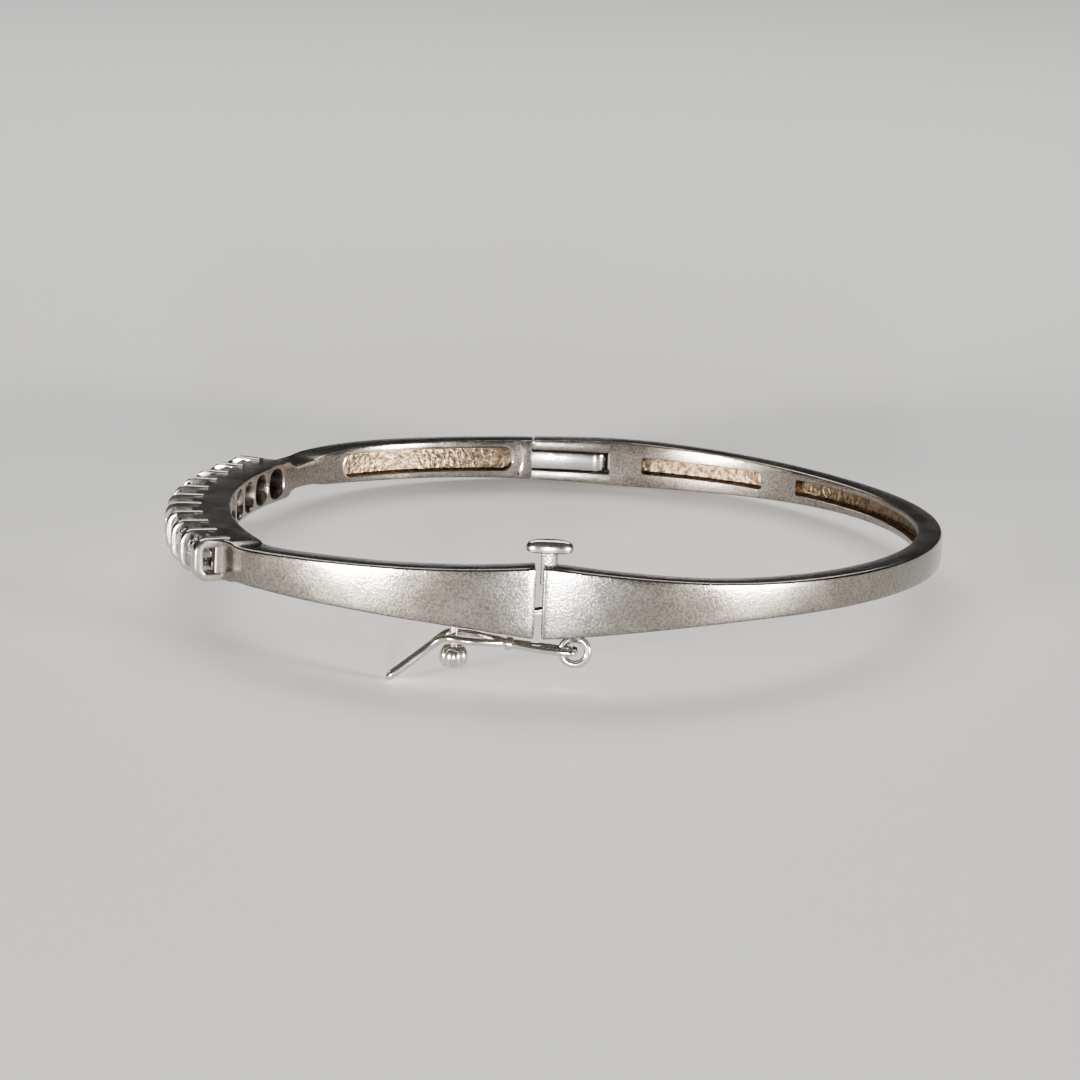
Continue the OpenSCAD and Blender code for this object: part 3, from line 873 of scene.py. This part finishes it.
def eye_ring():
    """The ring under the clasp, in the upright plane along the clip."""
    rows = [(EYE_R * math.cos(a), 0, EYE[2] + EYE_R * math.sin(a))
            for a in np.linspace(0, 2 * math.pi, 48, endpoint=False)]
    tube("eye_ring", clip_place(rows), EYE_WIRE_R, 14, "back")


other_side = [(along, -aside, z) for along, aside, z in CLIP[::-1]]
tube("clip_wire", clip_place(smooth_ring(CLIP + other_side, 5)), WIRE_R, 14, "clip",
     nodes=["safety_clip"])
clip_wrap()
eye_ring()


LOBE_FROM, LOBE_OVER, LOBE_POWER = 0.35, 0.3, 0.7  # radius, growth and shape of the ball's lobes


def spun(name, centre, profile, body, sides, lobes=0.0):
    """A turned shape, from rows of radius and height, with four soft lobes where it is wide."""
    x, y, z = centre
    loops = []
    for r, h in profile:
        swell = lobes * min(1, max(0, r - LOBE_FROM) / LOBE_OVER)
        loop = []
        for a in np.linspace(0, 2 * math.pi, sides, endpoint=False):
            reach = r - swell * (1 - abs(math.cos(2 * a)) ** LOBE_POWER)
            loop.append((x + reach * math.cos(a), y + reach * math.sin(a), z + h))
        loops.append(loop)
    loft(name, loops, [painted_highlight_metal], body, sharp=50)


def ball_profile():
    """Rows of the ball and its post: radius, height above the ball's middle."""
    flat_h, least = 0.75, 0.02
    ball = [(max(math.cos(a), least), max(-flat_h, min(flat_h, math.sin(a))))
            for a in np.linspace(-math.pi / 2, math.radians(72), 26)]
    return ball + [(0.32, 0.85), (0.3, 1.1), (0.3, 2.3)]


# Solder between the eye ring and the band: radius, height above the eye ring's middle
SOLDER_PROFILE = [(0.5, 0.72), (0.44, 0.88), (0.34, 1.05), (0.3, 1.2), (0.34, 1.35)]
spun("ring_solder", EYE, SOLDER_PROFILE, "back", 20)
spun("ball_catch", BALL, ball_profile(), "front", 64, lobes=0.16)


# Clasp: thumb piece with its stem and leaf, and the fixed leaf

# The head, from the middle of its underside to the middle of its dome: share of its outline, height
HEAD_RINGS = ((0.01, 0.0), (0.6, 0.0), (0.9, 0.02), (0.975, 0.1), (1.0, 0.28), (0.985, 0.46),
              (0.93, 0.63), (0.8, 0.77), (0.55, 0.87), (0.25, 0.9), (0.01, 0.9))


def head():
    """The oval head over the stem."""
    middle_x = STEM_X + STEM_L / 2
    loops = []
    for share, h in HEAD_RINGS:
        loop = []
        for a in np.linspace(0, 2 * math.pi, 56, endpoint=False):
            r = oval_r(a, HEAD_L / 2, HEAD_W / 2, HEAD_POWER) * share
            loop.append((middle_x + r * math.cos(a), CLASP_Y + r * math.sin(a), HEAD_Z + h))
        loops.append(loop)
    loft("thumb_head", loops, [painted_highlight_metal], "thumb", nodes=["thumb_piece"])


def stem():
    """The upright block under the head, with rounded edges."""
    r, least = 0.06, 0.004
    sides = (STEM_X, STEM_X + STEM_L, CLASP_Y - STEM_T / 2, CLASP_Y + STEM_T / 2)
    levels = ((STEM_LOW, least), (STEM_LOW + r, r), (STEM_TOP - r, r), (STEM_TOP, least))
    loops = [[(x, y, z) for x, y in rounded_box(*sides, r, corner_r)] for z, corner_r in levels]
    loft("thumb_stem", loops, [polished], "thumb")


def leaf(name, points, t, body):
    """A bent strip in the plane of the clasp, by (x, z) points of its middle line."""
    path = np.array(points, float)
    half_t, half_w = t / 2, LEAF_W / 2
    ring = ((-half_t, -half_w), (-half_t, half_w), (half_t, half_w), (half_t, -half_w))
    loops = [[(x - a * ahead_z, CLASP_Y + b, z + a * ahead_x) for a, b in ring]
             for (x, z), (ahead_x, ahead_z) in zip(path, unit(np.gradient(path, axis=0)))]
    loft(name, loops, [polished], body)


head()
stem()
leaf("thumb_leaf", [(-0.58, 1.3), (1.0, 1.12), (2.5, 0.92), (3.34, 0.84)], 0.28, "thumb")
leaf("fixed_leaf", [(-2.2, -0.75), (-1.6, -0.75), (0.5, -0.4), (2.5, 0.05), (3.6, 0.4), (3.95, 0.62)],
     0.3, "front")
dress("hinge_pin", painted_highlight_metal)


# Surroundings, in metres

def pale_floor():
    """A plain matt floor."""
    half = 3
    mesh = bpy.data.meshes.new("floor")
    mesh.from_pydata([(-half, -half, 0), (half, -half, 0), (half, half, 0), (-half, half, 0)], [],
                     [(0, 1, 2, 3)])
    floor = bpy.data.objects.new("floor", mesh)
    bpy.context.scene.collection.objects.link(floor)
    pale = bpy.data.materials.new("pale_floor")
    _, _, bsdf = nodes_of(pale)
    set_inputs(bsdf, Base_Color=(0.72, 0.715, 0.705, 1), Roughness=0.6)
    mesh.materials.append(pale)


def area(name, place, target, size, power, colour):
    """A rectangular light that faces a point."""
    data = bpy.data.lights.new(name, "AREA")
    data.shape = "RECTANGLE"
    data.size, data.size_y = size
    data.energy = power
    data.color = colour
    lamp = bpy.data.objects.new(name, data)
    lamp.location = place
    lamp.rotation_mode = "QUATERNION"
    lamp.rotation_quaternion = (Vector(target) - Vector(place)).to_track_quat("-Z", "Y")
    bpy.context.scene.collection.objects.link(lamp)


def studio_world():
    """Soft light from all around, brighter from above."""
    world = bpy.data.worlds.new("studio")
    bpy.context.scene.world = world
    world.use_nodes = True
    nodes, links = world.node_tree.nodes, world.node_tree.links
    coord = nodes.new("ShaderNodeTexCoord")
    split = nodes.new("ShaderNodeSeparateXYZ")
    shade = nodes.new("ShaderNodeValToRGB")
    below, above = shade.color_ramp.elements
    below.position, below.color = 0.0, (0.01, 0.01, 0.011, 1)
    above.position, above.color = 0.8, (0.22, 0.22, 0.225, 1)
    links.new(coord.outputs["Generated"], split.inputs[0])
    links.new(split.outputs["Z"], shade.inputs["Fac"])
    links.new(shade.outputs["Color"], nodes["Background"].inputs["Color"])
    set_inputs(nodes["Background"], Strength=0.5)


def place_camera(place, turn, lens):
    """The camera, with its turn in degrees about X, Y and Z."""
    data = bpy.data.cameras.new("camera")
    data.lens = lens
    data.sensor_width = 36
    data.clip_start, data.clip_end = 0.01, 10
    camera = bpy.data.objects.new("camera", data)
    camera.location = place
    camera.rotation_euler = [math.radians(a) for a in turn]
    bpy.context.scene.collection.objects.link(camera)
    bpy.context.scene.camera = camera


WARM, COOL, WHITE = (1.0, 0.95, 0.88), (0.94, 0.97, 1.0), (1, 1, 1)
BANGLE = (0, 0, 0)

pale_floor()
# Name, place, target, size, power, colour
area("left", (-0.552, -0.431, 0.035), BANGLE, (0.15, 0.065), 32, WARM)
area("right", (0.594, -0.371, 0.035), BANGLE, (0.17, 0.065), 32, WARM)
area("front", (0.0, -0.70, 0.035), BANGLE, (0.05, 0.065), 14, COOL)
area("back", (0.0, 0.24, 0.24), (0, 0.03, 0), (0.40, 0.16), 1.0, WHITE)
studio_world()
place_camera(place=(-0.0069996, -0.3224344, 0.0918837), turn=(74.5383, -1.56904, -0.61788),
             lens=149.1)
